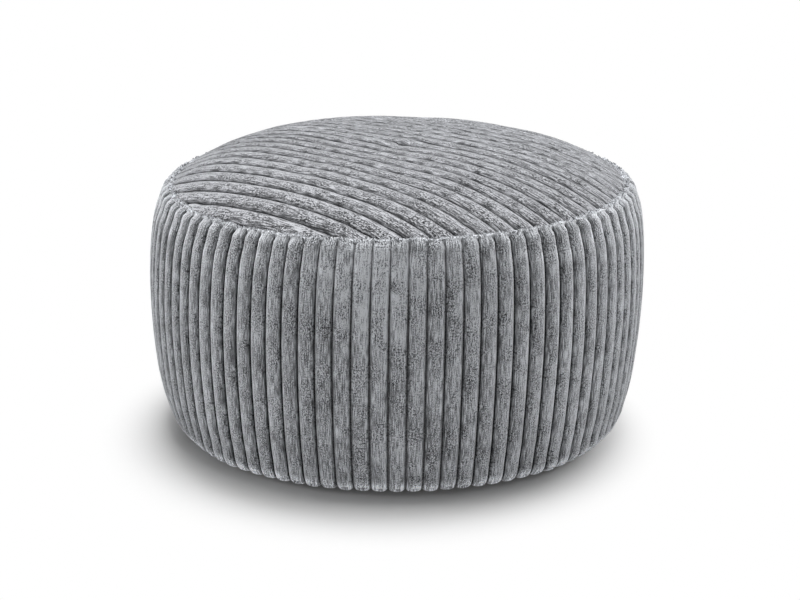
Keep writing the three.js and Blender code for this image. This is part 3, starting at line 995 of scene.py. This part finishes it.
    differing = {0: own, 1: WALES_DIFFER, 2: -WALES_DIFFER / 2}
    tone = add(tree, "ShaderNodeMath", differing, operation="MULTIPLY_ADD").outputs[0]
    for part, amount, middle in (
        (grain, coarse, 0.5),
        (fibres, look["fibres"], 0.5),
        (brushed, look["brushed"], 0.5),
        (nap, look["nap"], 0.3),
        (streaks, look["streaks"], 0.5),
        (parting, look["parting"], 0.0),
        (painted_edge_light, look["edge light"], 0.0),
        (pits, look["pits"], 0.1),
        (raised, PAINTED_PATCHES_SHOW, 0.0),
    ):
        part = add(tree, "ShaderNodeMath", {0: part, 1: middle}, operation="SUBTRACT").outputs[0]
        tone = add(tree, "ShaderNodeMath", {0: part, 1: amount, 2: tone}, operation="MULTIPLY_ADD").outputs[0]
    tone = add(tree, "ShaderNodeMath", {0: tone}, operation="EXPONENT").outputs[0]
    # No fibre is much paler than the rest: the grain is mostly small shadows.
    tone = add(tree, "ShaderNodeMath", {0: tone, 1: 2.2, 2: 0.8}, operation="SMOOTH_MIN").outputs[0]
    ends = add(tree, "ShaderNodeMath", {0: lip, 1: look["seam"]}, operation="MULTIPLY").outputs[0]
    ends = add(tree, "ShaderNodeMath", {0: painted_lobe_light, 1: 0.8, 2: ends}, operation="MULTIPLY_ADD").outputs[0]
    ends = add(tree, "ShaderNodeMath", {0: ends}, operation="EXPONENT").outputs[0]
    tone = add(tree, "ShaderNodeMath", {0: tone, 1: ends}, operation="MULTIPLY").outputs[0]

    # Painted sheen: the pile's colour turns from its crest colour to its grazing colour as it is seen more
    # from the side. On the band this paints it paler, on the top darker.
    side = add(tree, "ShaderNodeLayerWeight", {"Blend": 0.45}).outputs["Facing"]
    colours = {"A": linear(look["crest"]), "B": linear(look["painted grazing tone"])}
    pile = add(tree, "ShaderNodeMix", {"Factor": side, **colours}, data_type="RGBA").outputs["Result"]
    toned = add(tree, "ShaderNodeVectorMath", {0: pile, "Scale": tone}, operation="SCALE").outputs[0]
    # Painted shade: the colour darkens to the channel colour low on a wale, in the channels.
    clear_of_channel_shade = add(
        tree,
        "ShaderNodeMapRange",
        {"Value": relief, "From Min": 0.3, "From Max": look["channel edge"]},
        interpolation_type="SMOOTHSTEP",
    ).outputs[0]
    colour = add(
        tree, "ShaderNodeMix", {"Factor": clear_of_channel_shade, "A": linear(look["channel"]), "B": toned}, data_type="RGBA"
    )
    tree.links.new(colour.outputs["Result"], shader.inputs["Base Color"])
    height = add(tree, "ShaderNodeMath", {0: pits, 1: -0.6, 2: grain}, operation="MULTIPLY_ADD").outputs[0]
    height = add(tree, "ShaderNodeMath", {0: height, 1: crested}, operation="MULTIPLY").outputs[0]
    bump = add(tree, "ShaderNodeBump", {"Strength": 1.0, "Distance": 1.1 * MM, "Height": height}).outputs[0]
    tree.links.new(bump, shader.inputs["Normal"])
    shader.inputs["Roughness"].default_value = 0.95
    shader.inputs["Specular IOR Level"].default_value = 0.1
    shader.inputs["Sheen Weight"].default_value = 1.0
    shader.inputs["Sheen Roughness"].default_value = 0.35
    shader.inputs["Sheen Tint"].default_value = linear("#e9ebef")
    return material


WEAVE_SIZE = 7.6 * MM


def base_cloth(name, colour):
    """Plain woven base cloth: matt, with its threads over and under each other as a fine chequer."""
    material = bpy.data.materials.new(name)
    material.use_nodes = True
    tree = material.node_tree
    shader = tree.nodes["Principled BSDF"]
    here = add(tree, "ShaderNodeTexCoord").outputs["Object"]
    # Threads 1.2 mm apart, drawn twice as coarse as they are so that they show. The bands of this texture are
    # pi / 10 of WEAVE_SIZE apart.
    bands = {"Vector": here, "Scale": 1 / WEAVE_SIZE, "Distortion": 0.4}
    warp, weft = (
        add(tree, "ShaderNodeTexWave", bands, bands_direction=direction).outputs["Fac"]
        for direction in ("X", "Y")
    )
    weave = add(tree, "ShaderNodeMath", {0: warp, 1: weft}, operation="MULTIPLY").outputs[0]
    shade = add(tree, "ShaderNodeMapRange", {"Value": weave, "To Min": 0.7, "To Max": 1.1}).outputs[0]
    shaded = {0: linear(colour)[:3], "Scale": shade}
    toned = add(tree, "ShaderNodeVectorMath", shaded, operation="SCALE").outputs[0]
    tree.links.new(toned, shader.inputs["Base Color"])
    bump = add(tree, "ShaderNodeBump", {"Strength": 0.6, "Distance": 0.4 * MM, "Height": weave}).outputs[0]
    tree.links.new(bump, shader.inputs["Normal"])
    shader.inputs["Roughness"].default_value = 0.9
    shader.inputs["Specular IOR Level"].default_value = 0.2
    return material


# ---------------------------------------------------------------- the pouf

corduroy_tree = corduroy_wales()
tuft_tree = seam_tufts()
form = swollen_form()
band_pitch = 2 * math.pi * WIDEST_RADIUS / BAND_WALES
band_cord = cord_pile("brushed jumbo cord, band", band_pitch, BAND_LOOK)
top_pitch = SEAM_RADIUS / TOP_WALES
# The top's cord is a darker copy of the band's: painted shade.
top_cord = cord_pile("brushed jumbo cord, top, darker copy", top_pitch, TOP_LOOK)

crest_line = settle(on_ring(*band_line()[1:], np.linspace(0, 2 * math.pi, 721)))
MIDDLE = (crest_line.reshape(-1, 3).min(0) + crest_line.reshape(-1, 3).max(0)) / 2
TO_ORIGIN = Matrix.Translation((-MIDDLE[0], -MIDDLE[1], 0))

band = side_band(form, band_cord)
top = top_panel(form, top_cord)
base = base_panel(base_cloth("plain woven base cloth", "#3c3d40"))
for piece in (band, top, base):
    piece.data.transform(TO_ORIGIN)

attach(band, "root")
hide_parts("side_band")
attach(top, "root")
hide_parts("top_panel")
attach(base, "root")
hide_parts("base_panel")

# ---------------------------------------------------------------- studio

FLOOR_HALF = 30
# The paper turns plain white beyond an oval round the shadow: how far its middle lies to the left and to the
# front, how much narrower it is from side to side, and where it starts and ends to turn white.
OVAL_SHIFT = (0.02, 0.06, 0)
OVAL_NARROWING = (1.08, 1, 1)
OVAL_START = 0.215
OVAL_END = 0.325
# How much light the paper throws back, and how much it seems to where it is seen.
PAPER = 0.58
PAPER_SEEN = 0.575
# The height that the lights point at.
LIGHTS_AIM = 0.15

# The camera's distance from the pouf and its height over the floor, in a unit of which WIDEST_RADIUS is
# CAMERA_UNIT, its step to the left in metres, and its turns in radians.
CAMERA_UNIT = 0.9832
CAMERA_DISTANCE = 9.0
CAMERA_RISE = 3.495
CAMERA_LEFT = 1.4 * MM
CAMERA_PITCH = 0.3234
CAMERA_YAW = 0.0021
CAMERA_ROLL = -0.0012


def studio():
    """A white floor, a wide soft light overhead, and long soft lights low on both sides and in front."""
    floor_mesh = bpy.data.meshes.new("floor")
    corners = [(x * FLOOR_HALF, y * FLOOR_HALF, 0) for x, y in ((-1, -1), (1, -1), (1, 1), (-1, 1))]
    floor_mesh.from_pydata(corners, [], [(0, 1, 2, 3)])
    floor = bpy.data.objects.new("floor", floor_mesh)
    bpy.context.scene.collection.objects.link(floor)
    material = bpy.data.materials.new("white paper floor")
    material.use_nodes = True
    tree = material.node_tree
    shader = tree.nodes["Principled BSDF"]
    shader.inputs["Roughness"].default_value = 1
    shader.inputs["Specular IOR Level"].default_value = 0
    # The paper turns plain white at the outer edge of the shadow, which falls to the front and the left.
    here = add(tree, "ShaderNodeTexCoord").outputs["Object"]
    away = add(tree, "ShaderNodeVectorMath", {0: here, 1: OVAL_SHIFT}, operation="ADD").outputs[0]
    away = add(tree, "ShaderNodeVectorMath", {0: away, 1: OVAL_NARROWING}, operation="MULTIPLY").outputs[0]
    away = add(tree, "ShaderNodeVectorMath", {0: away}, operation="LENGTH").outputs["Value"]
    away = add(
        tree,
        "ShaderNodeMapRange",
        {"Value": away, "From Min": OVAL_START, "From Max": OVAL_END},
        interpolation_type="SMOOTHSTEP",
    ).outputs[0]
    rays = add(tree, "ShaderNodeLightPath").outputs
    # The shadow's own part of the paper is seen a little under white, so that the shadow fades out slowly.
    greys = {"To Min": PAPER, "To Max": PAPER_SEEN}
    paper = add(tree, "ShaderNodeMapRange", {"Value": rays["Is Camera Ray"], **greys}).outputs[0]
    tree.links.new(paper, shader.inputs["Base Color"])
    sights = {0: rays["Is Camera Ray"], 1: rays["Is Glossy Ray"]}
    seen = add(tree, "ShaderNodeMath", sights, operation="MAXIMUM").outputs[0]
    plain = add(tree, "ShaderNodeMath", {0: seen, 1: away}, operation="MULTIPLY").outputs[0]
    white = add(tree, "ShaderNodeEmission", {"Color": (1, 1, 1, 1), "Strength": 1.0}).outputs[0]
    mixed = add(tree, "ShaderNodeMixShader", {0: plain, 1: shader.outputs[0], 2: white}).outputs[0]
    tree.links.new(mixed, tree.nodes["Material Output"].inputs["Surface"])
    floor_mesh.materials.append(material)

    world = bpy.data.worlds.new("studio")
    bpy.context.scene.world = world
    world.use_nodes = True
    tree = world.node_tree
    rays = add(tree, "ShaderNodeLightPath").outputs
    # The room looks white, but lights the pouf only a little.
    sights = {0: rays["Is Camera Ray"], 1: rays["Is Glossy Ray"]}
    seen = add(tree, "ShaderNodeMath", sights, operation="MAXIMUM").outputs[0]
    strength = add(tree, "ShaderNodeMapRange", {"Value": seen, "To Min": 0.1, "To Max": 1.0})
    tree.links.new(strength.outputs[0], tree.nodes["Background"].inputs["Strength"])
    tree.nodes["Background"].inputs["Color"].default_value = (1, 1, 1, 1)

    for name, place, width, height, power in (
        ("overhead", (0.0, 0.22, 2.3), 1.3, 1.1, 85),
        ("left", (-2.2, -0.25, 0.85), 1.6, 0.7, 13),
        ("right", (2.15, 0.5, 1.0), 1.6, 0.7, 14.5),
        ("front", (0.0, -3.0, 0.95), 2.4, 0.6, 26),
    ):
        light = bpy.data.lights.new(name, "AREA")
        light.shape = "RECTANGLE"
        light.size = width
        light.size_y = height
        light.energy = power
        lamp = bpy.data.objects.new(name, light)
        lamp.location = place
        aim = Vector((0, 0, LIGHTS_AIM)) - Vector(place)
        lamp.rotation_euler = aim.to_track_quat("-Z", "Y").to_euler()
        bpy.context.scene.collection.objects.link(lamp)


def camera():
    """Looks down a little at the front of the pouf from two and a half metres away."""
    data = bpy.data.cameras.new("camera")
    data.lens = 105.5
    data.sensor_width = 36
    made = bpy.data.objects.new("camera", data)
    bpy.context.scene.collection.objects.link(made)
    distance = CAMERA_DISTANCE * WIDEST_RADIUS / CAMERA_UNIT
    rise = CAMERA_RISE * WIDEST_RADIUS / CAMERA_UNIT
    made.location = (-MIDDLE[0] - CAMERA_LEFT, -distance - MIDDLE[1], rise)
    made.rotation_euler = (math.pi / 2 - CAMERA_PITCH, CAMERA_ROLL, -CAMERA_YAW)
    bpy.context.scene.camera = made


studio()
camera()
bpy.context.scene.view_settings.view_transform = "Standard"
